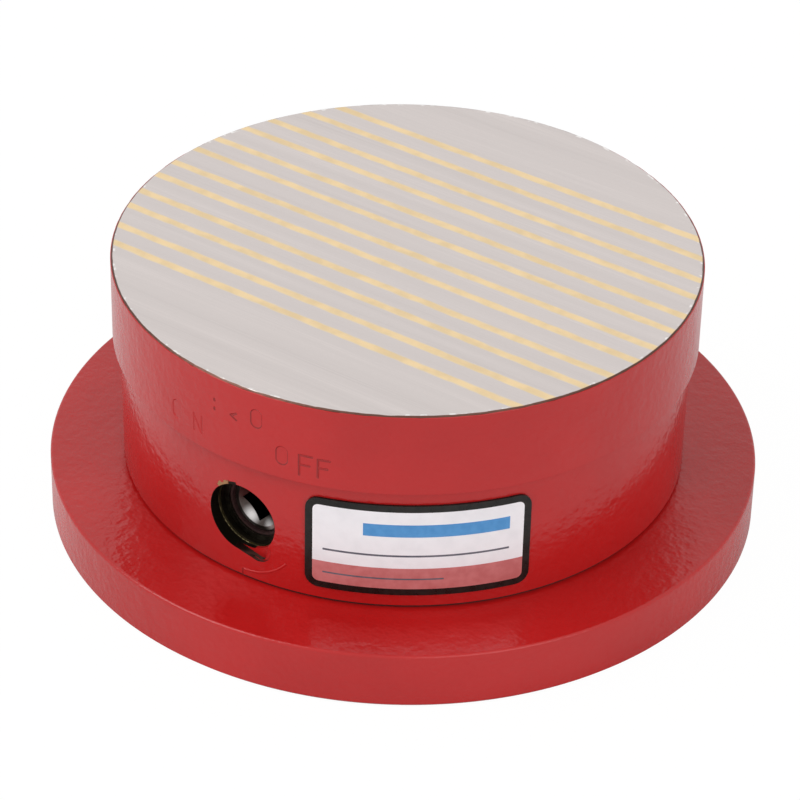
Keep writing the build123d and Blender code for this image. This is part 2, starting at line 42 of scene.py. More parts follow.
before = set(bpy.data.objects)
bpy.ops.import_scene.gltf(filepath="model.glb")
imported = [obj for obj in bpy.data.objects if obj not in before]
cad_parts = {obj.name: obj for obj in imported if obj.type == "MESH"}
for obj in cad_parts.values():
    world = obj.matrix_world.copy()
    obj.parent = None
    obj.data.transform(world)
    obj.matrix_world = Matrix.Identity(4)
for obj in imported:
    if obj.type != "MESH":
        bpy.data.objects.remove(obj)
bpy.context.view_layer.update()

MM = 0.001
FIXED_BODY = "chuck_body"
FULL_TURN = 2 * math.pi

# Places that the frame gives
_, flange_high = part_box("base_flange")
housing_low, housing_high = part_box("housing")
front_low, front_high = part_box("plate_segment_front")
badge_low, badge_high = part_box("badge_plate")
shaft_low, shaft_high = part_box("key_shaft")
FACE_Z = front_high.z
PLATE_Z = front_low.z
PLATE_R = -front_low.y
HOUSING_R = housing_high.x
FLANGE_R = flange_high.x
KEY_X = (shaft_low.x + shaft_high.x) / 2
KEY_Z = (shaft_low.z + shaft_high.z) / 2
NOSE_Y = shaft_low.y
PLATE_NODES = sorted(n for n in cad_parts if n.startswith(("plate_segment", "pole_bar", "land_bar")))
STRIP_NODES = sorted(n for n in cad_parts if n.startswith("brass_strip"))
STRIP_LINES = sorted((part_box(n)[0].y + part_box(n)[1].y) / 2 for n in STRIP_NODES)
POLE_Y = (STRIP_LINES[0] + STRIP_LINES[1]) / 2
POLE_HALF = (STRIP_LINES[1] - STRIP_LINES[0]) / 2
POLE_PITCH = STRIP_LINES[2] - STRIP_LINES[0]

# Flange: its edges, the spigot under the housing, and the recess and holes in its underside
RIM_SOFT = 0.6 * MM
FOOT_CHAMFER = 0.8 * MM
EDGE_HOLD = 0.15 * MM
GASKET_THICK = 0.5 * MM
SPIGOT_R = 51.9 * MM
REGISTER_R, REGISTER_DEPTH = 15.0 * MM, 5.0 * MM
# Number of holes, first angle in degrees, radius of their ring, radius and depth of a hole
FLANGE_HOLES = ((4, 45, 50.0 * MM, 3.4 * MM, 11.0 * MM), (6, 0, 57.5 * MM, 5.5 * MM, 7.0 * MM))

# Key hole: its radius, the rim line in it where a highlight line is painted, the side where paint runs in,
# and the notch cutter's rise
MOUTH_R = 8.3 * MM
RIM_LINE_Y = -60.1 * MM
PAINTED_SIDE = (0.766, 0.0, -0.643)
PAINTED_FROM = 6.9 * MM
NOTCH_RISE = 1.0 * MM
# Millimetres across and up from the key's axis, and for the painted highlight spots their reach
WORN_PLACE = (-4.9, 7.2)
CHIP_PLACE = (-2.3, 8.2)
KEY_HIGHLIGHT_SPOTS = ((-2.1, -3.7, 2.8), (3.3, -4.2, 2.4))

# Paint ridge below the key hole, drawn about the key's axis, and at its end a thin dark sheet of painted
# shade
RIDGE_R = 13.1 * MM
RIDGE_SHIFT = 0.7 * MM
RIDGE_SWEEP = math.radians(52)
RIDGE_SINK = 0.04 * MM
SHADE_TICK_PLACE = (-0.35 * MM, -RIDGE_R - 0.75 * MM, 0)
SHADE_TICK_SIZE = (0.3 * MM, 1.7 * MM, 0.05 * MM, 1)

# Enamel round the pole plate: play inside, distance from the plate's ends, edge and straight part
COAT_PLAY = 0.01 * MM
COAT_LOW, COAT_HIGH = 0.15 * MM, 0.3 * MM
COAT_SOFT = 0.15 * MM
COAT_HOLD = 0.5 * MM
# Its ragged top: the band that moves, the waves' size in millimetres and pitch, and the highest rise
RAGGED_BAND = 0.3 * MM
COAT_WAVES = ((0.14, 2.2 * MM), (0.10, 9.0 * MM))
RAGGED_RISE = 0.02
# Marks at a lower X than this get no painted shade on their walls
SHADED_MARKS_FROM = -5.0 * MM

# Stamped marks: share of the stroke that the floor takes, and how far a cutter stands out
FLOOR_SHARE = 0.1
STAMP_RISE = 0.3 * MM
# Mark, angle round the chuck in degrees, height in millimetres, scale
MARK_ROWS = (
    ("O", 11.7, 50.1, 0.92), ("F", 16.4, 48.9, 1.08), ("F", 19.9, 48.9, 0.98),
    ("O", -13.0, 50.2, 0.92), ("N", -7.2, 49.9, 0.92),
    ("O", 6.45, 57.4, 0.92), ("<", 1.5, 56.1, 0.62),
    (".", -2.9, 58.1, 1.0), (".", -2.9, 55.9, 1.0),
)

# Badge
BADGE_WIDTH, BADGE_HEIGHT, BADGE_CORNER = 48.4 * MM, 23.2 * MM, 3.0 * MM
BADGE_TURN = math.radians(37.8)
BADGE_GAP, BADGE_THICK = 0.03 * MM, 0.5 * MM
BADGE_COLUMNS = 36
BADGE_INKS = ("Badge black", "Badge silver", "Badge red band", "Badge blue", "Badge ruled line")
BORDER, FIELD, BAND, BAR, RULE = range(5)
# Left, right, low and high as shares of the field inside the border, and the ink
BADGE_PRINTS = (
    (0.24, 0.93, 0.68, 0.84, BAR), (0.05, 0.93, 0.42, 0.445, RULE), (0.05, 0.62, 0.12, 0.14, RULE),
)

# Colours that no property sets
EDGE_COLOR = (0.13, 0.065, 0.05, 1.0)
# The rim's chips are painted near white as glints, a painted highlight
CHIP_GLINT_COLOR = (0.95, 0.93, 0.91, 1.0)
# Iron colours, near black: painted shade inside the key hole, and the iron of the chip beside it
IRON_AND_SHADE_DARK, IRON_AND_SHADE_LIGHT = (0.006, 0.005, 0.003, 1.0), (0.030, 0.023, 0.013, 1.0)
# Colour of the painted highlight line at the rim line in the bore
RIM_HIGHLIGHT_COLOR = (0.16, 0.13, 0.065, 1.0)
WORN_IRON = (0.42, 0.25, 0.12, 1.0)
# Key end: an oily mottle, kept dark as painted shade
OIL_AND_SHADE_DARK, OIL_AND_SHADE_LIGHT = (0.03, 0.022, 0.018, 1.0), (0.15, 0.125, 0.115, 1.0)
# Colour of the painted highlights on the key end
HIGHLIGHT_STEEL = (0.80, 0.77, 0.76, 1.0)
# Near-black colour of the socket, painted shade
SOCKET_SHADE_COLOR = (0.014, 0.012, 0.010, 1.0)
FLOOR_COLOR = (0.86, 0.86, 0.86, 1.0)
# Each plain finish: dark colour, light colour, metallic, roughness, and grain per metre
FINISHES = {
    "Oiled steel": ((0.05, 0.043, 0.033), (0.1, 0.088, 0.066), 1.0, 0.34, 700),
    "Machined brass": ((0.55, 0.38, 0.15), (0.72, 0.52, 0.24), 1.0, 0.35, 900),
    "Bearing bronze": ((0.35, 0.2, 0.09), (0.52, 0.32, 0.16), 1.0, 0.38, 900),
    "Milled aluminium": ((0.6, 0.6, 0.61), (0.75, 0.76, 0.77), 1.0, 0.36, 1200),
    "Sintered magnet": ((0.035, 0.035, 0.04), (0.09, 0.09, 0.095), 0.6, 0.55, 1500),
    "Gasket rubber": ((0.02, 0.004, 0.004), (0.045, 0.012, 0.01), 0.0, 0.7, 1400),
    # The notch wall finish is near black: painted shade on the notch's walls
    "Notch wall shade": ((0.01, 0.004, 0.003), (0.035, 0.012, 0.009), 0.9, 0.5, 500),
    "Badge black": ((0.006, 0.006, 0.005), (0.016, 0.016, 0.014), 0.4, 0.3, 700),
    "Badge silver": ((0.86, 0.85, 0.88), (0.93, 0.92, 0.95), 0.1, 0.36, 300),
    "Badge red band": ((0.54, 0.15, 0.15), (0.62, 0.2, 0.2), 0.1, 0.36, 500),
    "Badge blue": ((0.06, 0.27, 0.6), (0.09, 0.33, 0.68), 0.1, 0.36, 500),
    "Badge ruled line": ((0.09, 0.09, 0.12), (0.14, 0.14, 0.17), 0.0, 0.4, 500),
}
# CAD nodes by their plain finish
PLAIN_NODES = {
    "Oiled steel": (
        "seal_washer", "retaining_ring", "clamp_screws_long", "clamp_screws_short", "dowel_pins",
        "rail_screws", "keeper_plate", "keeper_screws", "follower_pin", "follower_roller",
    ),
    "Machined brass": ("guide_rail_left", "guide_rail_right", "wear_strips"),
    "Bearing bronze": ("bearing_sleeve",),
    "Milled aluminium": ("magnet_cage",),
    "Sintered magnet": ("magnets_north", "magnets_south"),
    "Gasket rubber": ("base_gasket", "plate_gasket", "shaft_seal"),
}

# Range of most of a noise's values, and the scale of the enamel's slow waves and patches as shares
NOISE_LOW, NOISE_HIGH = 0.3, 0.7
SWELL_SHARE, PATCH_SHARE = 0.28, 0.04

# Stage: lamps by name, place, size and power, the camera's target, and its shift in the photo's pixels
LAMPS = (("key lamp", (-0.9, -1.0, 1.5), 1.2, 14.0), ("fill lamp", (1.5, -0.7, 0.9), 1.4, 8.0))
LAMP_TARGET = (0, 0, 0.04)
CAMERA_TARGET = (0, 0, 32 * MM)
SENSOR_WIDTH = 36.0
PHOTO_SIZE = 800
PHOTO_SHIFT = (-5.0, -29.8)
FLOOR_HALF = 3.0
FLOOR_DROP = 0.05 * MM
FLOOR_GLOW, GLOW_SHARE = 1.01, 0.97
GLOSS_LIGHT = 0.9


class EnamelProperties(PropertyGroup):
    """Sizes and colours of the enamel."""

    color: FloatVectorProperty(
        name="Colour", description="Body colour of the enamel",
        subtype="COLOR", size=3, min=0, max=1, default=(0.50, 0.011, 0.011),
    )
    worn_color: FloatVectorProperty(
        name="Thin colour", description="Colour where the enamel is thinner",
        subtype="COLOR", size=3, min=0, max=1, default=(0.45, 0.009, 0.009),
    )
    roughness: FloatProperty(
        name="Roughness", description="Mean roughness of the enamel", min=0, max=1, default=0.2,
    )
    peel_size: FloatProperty(
        name="Peel size", description="Distance between the bumps of the orange peel",
        unit="LENGTH", default=1.6 * MM,
    )
    peel_height: FloatProperty(
        name="Peel height", description="Height that the bump shading gives the orange peel",
        unit="LENGTH", default=0.13 * MM,
    )
    coat_thickness: FloatProperty(
        name="Coat thickness", description="Thickness of the filled enamel round the pole plate",
        unit="LENGTH", default=0.2 * MM,
    )


class FaceProperties(PropertyGroup):
    """Colours of the ground working face."""

    steel_color: FloatVectorProperty(
        name="Steel colour", description="Colour of the ground steel",
        subtype="COLOR", size=3, min=0, max=1, default=(0.72, 0.66, 0.64),
    )
    brass_color: FloatVectorProperty(
        name="Brass colour", description="Colour of the brass strips",
        subtype="COLOR", size=3, min=0, max=1, default=(0.90, 0.70, 0.42),
    )
    line_pitch: FloatProperty(
        name="Grinding pitch", description="Distance between the grinding lines",
        unit="LENGTH", default=0.35 * MM,
    )


class MarkProperties(PropertyGroup):
    """Sizes of the marks that are stamped through the enamel."""

    height: FloatProperty(
        name="Letter height", description="Height of the stamped letters",
        unit="LENGTH", default=5.2 * MM,
    )
    width: FloatProperty(
        name="Letter width", description="Width of a stamped letter",
        unit="LENGTH", default=3.2 * MM,
    )
    stroke: FloatProperty(
        name="Stroke", description="Width of a stamped stroke", unit="LENGTH", default=0.62 * MM,
    )


class MouthProperties(PropertyGroup):
    """Sizes of the notch and the paint ridge at the key hole's lower edge."""

    notch_length: FloatProperty(
        name="Notch length", description="Length of the notch's lower wall", unit="LENGTH", default=7.6 * MM,
    )
    notch_depth: FloatProperty(
        name="Notch depth", description="Depth of the notch below the housing's wall",
        unit="LENGTH", default=2.0 * MM,
    )
    notch_corner: FloatProperty(
        name="Notch corner", description="Radius of the notch's corner", unit="LENGTH", default=1.5 * MM,
    )
    notch_tilt: FloatProperty(
        name="Notch tilt", description="Slope of the notch's lower wall",
        default=math.radians(13.5), subtype="ANGLE",
    )
    ridge_width: FloatProperty(
        name="Ridge width", description="Width of the ridge", unit="LENGTH", default=0.55 * MM,
    )
    ridge_height: FloatProperty(
        name="Ridge height", description="Height of the ridge above the wall",
        unit="LENGTH", default=0.16 * MM,
    )


class BadgeProperties(PropertyGroup):
    """Sizes and colours of the badge plate."""

    border: FloatProperty(
        name="Border", description="Width of the badge's black border", unit="LENGTH", default=1.65 * MM,
    )
    band_share: FloatProperty(
        name="Band share", description="Share of the badge's height that the tinted band takes",
        min=0, max=1, default=0.27,
    )


class StageProperties(PropertyGroup):
    """Camera and light."""

    azimuth: FloatProperty(
        name="Azimuth", description="Camera's angle round the chuck, from the key hole's side",
        default=math.radians(34.4), subtype="ANGLE",
    )
    elevation: FloatProperty(
        name="Elevation", description="Camera's angle above the table",
        default=math.radians(33.72), subtype="ANGLE",
    )
    roll: FloatProperty(
        name="Roll", description="Camera's turn about its line of sight",
        default=math.radians(1.36), subtype="ANGLE",
    )
    distance: FloatProperty(
        name="Distance", description="Distance from the camera to the chuck's middle",
        unit="LENGTH", default=776.6 * MM,
    )
    lens: FloatProperty(
        name="Lens", description="Focal length of the camera, in millimetres", default=155.5,
    )
    room_light: FloatProperty(
        name="Room light", description="Strength of the light from all round", default=0.62,
    )


def settings(name):
    """The scene's property group of that name."""
    return getattr(bpy.context.scene, "chuck_" + name)


def set_inputs(tree, node, inputs):
    """Link each input that is given a socket, and set any other."""
    for name, value in inputs.items():
        if isinstance(value, NodeSocket):
            tree.links.new(value, node.inputs[name])
        else:
            node.inputs[name].default_value = value


def add_node(tree, kind, inputs, **attributes):
    """Add a node, with its attributes set before its inputs."""
    node = tree.nodes.new(kind)
    for name, value in attributes.items():
        setattr(node, name, value)
    set_inputs(tree, node, inputs)
    return node


def math_node(tree, operation, first, second=0.0):
    """Output socket of a Math node."""
    return add_node(tree, "ShaderNodeMath", {0: first, 1: second}, operation=operation).outputs[0]


def times(tree, first, second):
    """Output socket of a product."""
    return math_node(tree, "MULTIPLY", first, second)


def rest_of(tree, value):
    """Output socket of 1 less value."""
    return math_node(tree, "SUBTRACT", 1.0, value)


def vector_node(tree, operation, first, second=(0.0, 0.0, 0.0)):
    """Output sockets of a Vector Math node."""
    return add_node(tree, "ShaderNodeVectorMath", {0: first, 1: second}, operation=operation).outputs


def spot_distance(tree, place, across, up, depth):
    """Output socket of the distance to a spot, given in millimetres about the key's axis at a depth."""
    spot = (KEY_X + across * MM, depth, KEY_Z + up * MM)
    return vector_node(tree, "DISTANCE", place, spot)["Value"]


def step_up(tree, value, low=NOISE_LOW, high=NOISE_HIGH):
    """Output socket that goes smoothly from 0 to 1 as value goes from low to high."""
    node = add_node(
        tree, "ShaderNodeMapRange", {"Value": value, "From Min": low, "From Max": high},
        interpolation_type="SMOOTHSTEP",
    )
    return node.outputs["Result"]


def spread(tree, value, low, high):
    """Output socket that goes evenly from low to high over the usual range of a noise."""
    node = add_node(
        tree, "ShaderNodeMapRange",
        {"Value": value, "From Min": NOISE_LOW, "From Max": NOISE_HIGH, "To Min": low, "To Max": high},
    )
    return node.outputs["Result"]


def mixed(tree, factor, first, second):
    """Output socket of a colour mix."""
    return add_node(tree, "ShaderNodeMix", {0: factor, 6: first, 7: second}, data_type="RGBA").outputs[2]


def rgba(color, factor=1.0):
    """A colour with alpha, made lighter or darker by a factor."""
    return (*(min(1.0, channel * factor) for channel in color), 1.0)


def noise_node(tree, vector, scale, detail=2.0):
    """Output socket of a noise of that scale."""
    node = add_node(tree, "ShaderNodeTexNoise", {"Vector": vector, "Scale": scale, "Detail": detail})
    return node.outputs["Fac"]


def drawn_out(tree, vector, share):
    """Output socket of coordinates on which a noise is drawn out along X."""
    return add_node(tree, "ShaderNodeMapping", {"Vector": vector, "Scale": (share, 1.0, share)}).outputs[0]


def orange_peel(tree, place, scale, swell):
    """Height and mottle of thick enamel: small bumps on a slower swell."""
    fine = noise_node(tree, place, scale, 1.0)
    slow = noise_node(tree, place, times(tree, scale, SWELL_SHARE), 1.0)
    mottle = noise_node(tree, place, times(tree, scale, PATCH_SHARE), 3.0)
    return math_node(tree, "ADD", fine, times(tree, slow, swell)), mottle


def grinding_lines(tree, place, scale):
    """Fine lines along X with broad bands among them, as a surface grinder leaves them."""
    along = drawn_out(tree, place, 0.012)
    return noise_node(tree, along, scale, 3.0), noise_node(tree, along, times(tree, scale, 0.09))


def chuck_place(tree, place):
    """Distance from the chuck's axis and from the key's axis, height, and place along the key's axis."""
    parts = add_node(tree, "ShaderNodeSeparateXYZ", {"Vector": place}).outputs
    flat = vector_node(tree, "MULTIPLY", place, (1.0, 1.0, 0.0))[0]
    moved = vector_node(tree, "SUBTRACT", place, (KEY_X, 0.0, KEY_Z))[0]
    upright = vector_node(tree, "MULTIPLY", moved, (1.0, 0.0, 1.0))[0]
    radius, key_radius = (vector_node(tree, "LENGTH", vector)["Value"] for vector in (flat, upright))
    return radius, key_radius, parts["Z"], parts["Y"]


def face_edge(tree, place):
    """Masks at the working face's rim: the dark edge line, and chips painted near white where they catch the
    light, a painted highlight.
    """
    radius = group_node(tree, "Place on the chuck", place)["Radius"]
    wander = times(tree, noise_node(tree, place, 260.0, 3.0), 0.35 * MM)
    dark = step_up(tree, math_node(tree, "ADD", radius, wander), PLATE_R - 0.22 * MM, PLATE_R - 0.10 * MM)
    spots = step_up(tree, noise_node(tree, place, 420.0), 0.56, 0.64)
    rim = step_up(tree, radius, PLATE_R - 1.1 * MM, PLATE_R - 0.5 * MM)
    return dark, times(tree, spots, rim)


def strip_smear(tree, place):
    """Mask that is 1 on a brass strip's middle and 0 beside it, its edge ragged along the grinding."""
    parts = add_node(tree, "ShaderNodeSeparateXYZ", {"Vector": place}).outputs
    from_pole = math_node(tree, "SUBTRACT", parts["Y"], POLE_Y)
    folded = math_node(tree, "PINGPONG", from_pole, POLE_PITCH / 2)
    off_middle = math_node(tree, "ABSOLUTE", math_node(tree, "SUBTRACT", folded, POLE_HALF))
    along = drawn_out(tree, place, 0.25)
    ragged = times(tree, noise_node(tree, along, 900.0, 3.0), 0.9 * MM)
    outside = step_up(tree, math_node(tree, "ADD", off_middle, ragged), 1.1 * MM, 1.8 * MM)
    return (rest_of(tree, outside),)


# Each node group's inputs, its outputs, and the function that makes them
GROUPS = {
    "Orange peel": (("Vector", "Scale", "Swell"), ("Height", "Mottle"), orange_peel),
    "Grinding lines": (("Vector", "Scale"), ("Lines", "Bands"), grinding_lines),
    "Place on the chuck": (("Vector",), ("Radius", "Key radius", "Height", "Depth"), chuck_place),
    "Face edge": (("Vector",), ("Dark", "Glinting chips"), face_edge),
    "Strip smear": (("Vector",), ("Brass",), strip_smear),
}


def build_group(name):
    """Make a node group; its sockets are values, apart from the one named Vector."""
    inputs, outputs, build = GROUPS[name]
    tree = bpy.data.node_groups.new(name, "ShaderNodeTree")
    for way, sockets in (("INPUT", inputs), ("OUTPUT", outputs)):
        for socket in sockets:
            kind = "NodeSocketVector" if socket == "Vector" else "NodeSocketFloat"
            tree.interface.new_socket(socket, in_out=way, socket_type=kind)
    given, result = tree.nodes.new("NodeGroupInput").outputs, tree.nodes.new("NodeGroupOutput")
    made = build(tree, *(given[socket] for socket in inputs))
    set_inputs(tree, result, dict(zip(outputs, made)))
    return tree


def group_node(tree, name, place, **inputs):
    """Output sockets of a node group that is placed in the tree, and is made when first needed."""
    group = bpy.data.node_groups.get(name) or build_group(name)
    return add_node(tree, "ShaderNodeGroup", {"Vector": place, **inputs}, node_tree=group).outputs


def new_material(name):
    """A material with its Principled shader and the object's own coordinates."""
    material = bpy.data.materials.new(name)
    material.use_nodes = True
    tree = material.node_tree
    place = tree.nodes.new("ShaderNodeTexCoord").outputs["Object"]
    return material, tree, tree.nodes["Principled BSDF"], place


def bump(tree, shader, height, distance):
    """Shade the surface as if height stood out by distance."""
    node = add_node(tree, "ShaderNodeBump", {"Strength": 1.0, "Distance": distance, "Height": height})
    tree.links.new(node.outputs["Normal"], shader.inputs["Normal"])


def enamel_base(tree, shader, place, bare=0.0):
    """Colour, roughness and orange peel of the enamel, with no peel where bare is 1."""
    enamel = settings("enamel")
    peel = group_node(tree, "Orange peel", place, Scale=1 / enamel.peel_size, Swell=1.2)
    thick = step_up(tree, peel["Mottle"], 0.35, 0.65)
    color = mixed(tree, thick, rgba(enamel.worn_color), rgba(enamel.color))
    low = enamel.roughness - 0.03
    roughness = spread(tree, peel["Mottle"], low, low + 0.08)
    height = times(tree, peel["Height"], rest_of(tree, bare))
    bump(tree, shader, height, enamel.peel_height)
    return color, roughness


def enamel_material(stamped=False):
    """Thick glossy red enamel with orange peel; the stamped version is darker, painted shade with a dusty
    mottle, for the walls of stamped marks and the tick below the key hole.
    """
    name = "Enamel with painted shade" if stamped else "Red enamel"
    if name in bpy.data.materials:
        return bpy.data.materials[name]
    material, tree, shader, place = new_material(name)
    color, roughness = enamel_base(tree, shader, place)
    if stamped:
        body = settings("enamel").color
        # The darker enamel is painted shade in recesses, with a dusty mottle
        dust_and_shade = step_up(tree, noise_node(tree, place, 700.0))
        color = mixed(tree, dust_and_shade, rgba(body, 0.5), rgba(body, 0.65))
    set_inputs(tree, shader, {"Base Color": color, "Roughness": roughness})
    return material


def housing_material():
    """Enamel outside, bored iron painted near black as shade in the key hole with a painted highlight line,
    and a worn patch and a chip at the hole's upper edge.
    """
    material, tree, shader, place = new_material("Housing enamel, bored iron and painted shade")
    where = group_node(tree, "Place on the chuck", place)
    from_key, depth = where["Key radius"], where["Depth"]

    # Bare, with iron painted near black as shade, are the bore, apart from its painted side, and all that
    # lies deeper than the rim line
    bore = math_node(tree, "LESS_THAN", from_key, MOUTH_R + 0.05 * MM)
    moved = vector_node(tree, "SUBTRACT", place, (KEY_X, 0.0, KEY_Z))[0]
    toward_notch = vector_node(tree, "DOT_PRODUCT", moved, PAINTED_SIDE)["Value"]
    painted = math_node(tree, "GREATER_THAN", toward_notch, PAINTED_FROM)
    dry_bore = times(tree, bore, rest_of(tree, painted))
    near_bore = math_node(tree, "LESS_THAN", from_key, MOUTH_R + 3.0 * MM)
    deep_shade = step_up(tree, depth, RIM_LINE_Y - 0.45 * MM, RIM_LINE_Y - 0.40 * MM)
    anywhere = math_node(tree, "MAXIMUM", dry_bore, times(tree, near_bore, deep_shade))
    inside = times(tree, anywhere, math_node(tree, "LESS_THAN", depth, 0.0))
    # A lighter line where the rim line lies is a painted highlight
    off_line = math_node(tree, "ABSOLUTE", math_node(tree, "SUBTRACT", depth, RIM_LINE_Y))
    line = rest_of(tree, step_up(tree, off_line, 0.2 * MM, 0.5 * MM))

    # The chip lies beside the hole, and the worn patch has a ragged edge and ends at the hole and the chip
    ragged = times(tree, noise_node(tree, place, 1100.0), 2.0 * MM)
    from_chip = spot_distance(tree, place, *CHIP_PLACE, -HOUSING_R)
    chip_size = math_node(tree, "ADD", from_chip, times(tree, ragged, 0.2))
    chip = rest_of(tree, step_up(tree, chip_size, 1.15 * MM, 1.35 * MM))
    chip = times(tree, chip, math_node(tree, "LESS_THAN", from_key, MOUTH_R + 0.6 * MM))
    from_worn = spot_distance(tree, place, *WORN_PLACE, -HOUSING_R + 0.2 * MM)
    worn_size = math_node(tree, "SUBTRACT", from_worn, ragged)
    worn = rest_of(tree, step_up(tree, worn_size, 0.6 * MM, 1.1 * MM))
    from_bore = math_node(tree, "SUBTRACT", from_key, ragged)
    worn = times(tree, worn, math_node(tree, "LESS_THAN", from_bore, MOUTH_R - 0.25 * MM))
    worn = times(tree, worn, rest_of(tree, chip))

    bare = math_node(tree, "MAXIMUM", math_node(tree, "MAXIMUM", inside, chip), worn)
    color, roughness = enamel_base(tree, shader, place, bare)
    # The near-black iron colour is painted shade inside the key hole
    iron = mixed(tree, noise_node(tree, place, 260.0), IRON_AND_SHADE_DARK, IRON_AND_SHADE_LIGHT)
    metal = mixed(tree, worn, mixed(tree, line, iron, RIM_HIGHLIGHT_COLOR), WORN_IRON)
    set_inputs(tree, shader, {
        "Base Color": mixed(tree, bare, color, metal),
        "Roughness": math_node(tree, "MAXIMUM", roughness, times(tree, bare, 0.4)),
        "Metallic": times(tree, bare, 0.9),
    })
    return material


def ground_steel_material():
    """Surface-ground steel on top, dark at the very edge, and enamelled down the side."""
    face = settings("face")
    material, tree, shader, place = new_material("Ground steel")
    color, roughness = enamel_base(tree, shader, place)
    ground = group_node(tree, "Grinding lines", place, Scale=1 / face.line_pitch)
    where = group_node(tree, "Place on the chuck", place)
    edge = group_node(tree, "Face edge", place)
    bands = step_up(tree, ground["Bands"])
    banded = mixed(tree, bands, rgba(face.steel_color, 0.93), rgba(face.steel_color, 1.03))
    lined = mixed(tree, step_up(tree, ground["Lines"], 0.35, 0.65), rgba(face.steel_color, 0.97), banded)
    top = mixed(tree, edge["Dark"], mixed(tree, edge["Glinting chips"], lined, CHIP_GLINT_COLOR), EDGE_COLOR)
    on_top = step_up(tree, where["Height"], FACE_Z - 0.42 * MM, FACE_Z - 0.38 * MM)
    shine = spread(tree, ground["Lines"], 0.36, 0.44)
    both = add_node(tree, "ShaderNodeMix", {0: on_top, 2: roughness, 3: shine}, data_type="FLOAT")
    set_inputs(tree, shader, {
        "Base Color": mixed(tree, on_top, color, top), "Roughness": both.outputs[0], "Metallic": on_top,
    })
    return material


def brass_material():
    """Brass strip, ground flush, its colour uneven along the strip, dark at the face's edge."""
    face = settings("face")
    material, tree, shader, place = new_material("Ground brass")
    ground = group_node(tree, "Grinding lines", place, Scale=1 / face.line_pitch)
    edge = group_node(tree, "Face edge", place)
    smear = group_node(tree, "Strip smear", place)
    patches = step_up(tree, noise_node(tree, place, 210.0, 3.0))
    color = mixed(tree, patches, rgba(face.brass_color, 0.93), rgba(face.brass_color, 1.05))
    smeared = mixed(tree, smear["Brass"], rgba(face.steel_color), color)
    set_inputs(tree, shader, {
        "Base Color": mixed(tree, edge["Dark"], smeared, EDGE_COLOR),
        "Roughness": spread(tree, ground["Lines"], 0.34, 0.46),
        "Metallic": 1.0,
    })
    return material


def plain_finish(name):
    """Material of one of the FINISHES: mottled between two colours, with a fine grain."""
    if name in bpy.data.materials:
        return bpy.data.materials[name]
    dark, light, metallic, rough, grain = FINISHES[name]
    material, tree, shader, place = new_material(name)
    fine = noise_node(tree, place, grain)
    coarse = noise_node(tree, place, grain * 0.08, 3.0)
    blend = times(tree, math_node(tree, "ADD", fine, coarse), 0.5)
    set_inputs(tree, shader, {
        "Base Color": mixed(tree, step_up(tree, blend, 0.35, 0.65), rgba(dark), rgba(light)),
        "Roughness": spread(tree, fine, rough - 0.06, rough + 0.06),
        "Metallic": metallic,
    })
    bump(tree, shader, fine, 0.01 * MM)
    return material


def key_steel_material():
    """Turned steel of the key shaft's end: painted highlights at two spots, an oily mottle kept dark as
    painted shade elsewhere, and painted shade in the socket.
    """
    material, tree, shader, place = new_material("Key end steel")
    where = group_node(tree, "Place on the chuck", place)
    # Painted highlights at two spots on the key end
    bright = math_node(tree, "MAXIMUM", *(
        step_up(tree, spot_distance(tree, place, across, up, NOSE_Y), reach * MM, 0.0)
        for across, up, reach in KEY_HIGHLIGHT_SPOTS
    ))
    # Oily mottle, dark as painted shade, on the rest of the key end
    oil_and_shade = noise_node(tree, place, 500.0, 3.0)
    end = mixed(tree, bright, mixed(tree, oil_and_shade, OIL_AND_SHADE_DARK, OIL_AND_SHADE_LIGHT), HIGHLIGHT_STEEL)
    # Deeper than the key's end face, the socket is painted near black as shade
    deep_shade = step_up(tree, where["Depth"], NOSE_Y + 0.9 * MM, NOSE_Y + 1.1 * MM)
    set_inputs(tree, shader, {
        "Base Color": mixed(tree, deep_shade, end, SOCKET_SHADE_COLOR),
        "Roughness": spread(tree, oil_and_shade, 0.26, 0.40),
        "Metallic": 1.0,
    })
    return material


def assign(material, nodes):
    """Give CAD nodes their material."""
    for node in nodes:
        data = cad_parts[node].data
        data.materials.clear()
        data.materials.append(material)


def add_object(name, data):
    """A new object in the scene, at the origin."""
    piece = bpy.data.objects.new(name, data)
    bpy.context.scene.collection.objects.link(piece)
    return piece


def mesh_object(name, bm):
    """A new object that takes over a bmesh's shape."""
    data = bpy.data.meshes.new(name)
    bm.to_mesh(data)
    bm.free()
    return add_object(name, data)


def finish_piece(name, bm, materials, sharp_angle=35.0):
    """Turn a bmesh into a piece of the fixed body, smooth apart from its sharp edges."""
    piece = mesh_object(name, bm)
    piece.data.shade_smooth()
    piece.data.set_sharp_from_angle(angle=math.radians(sharp_angle))
    for material in materials:
        piece.data.materials.append(material)
    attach(piece, FIXED_BODY)
    return piece


def spun(points, steps):
    """A closed ring or disc: the outline in the XZ plane, spun once round the chuck's axis."""
    bm = bmesh.new()
    verts = [bm.verts.new((x, 0.0, z)) for x, z in points]
    edges = [bm.edges.new(pair) for pair in zip(verts, verts[1:] + verts[:1])]
    bmesh.ops.spin(
        bm, geom=verts + edges, cent=(0, 0, 0), axis=(0, 0, 1), angle=FULL_TURN,
        steps=steps, use_merge=True, use_duplicate=False,
    )
    bmesh.ops.remove_doubles(bm, verts=bm.verts, dist=1e-7)
    bmesh.ops.recalc_face_normals(bm, faces=bm.faces)
    return bm


def arc(center_x, center_z, radius, start, end, count):
    """Points on an arc in the XZ plane, with angles in degrees from +X."""
    angles = [math.radians(start + (end - start) * i / count) for i in range(count + 1)]
    return [(center_x + radius * math.cos(a), center_z + radius * math.sin(a)) for a in angles]


def verts_of(geom):
    """The vertices among an operator's results."""
    return [part for part in geom if isinstance(part, bmesh.types.BMVert)]


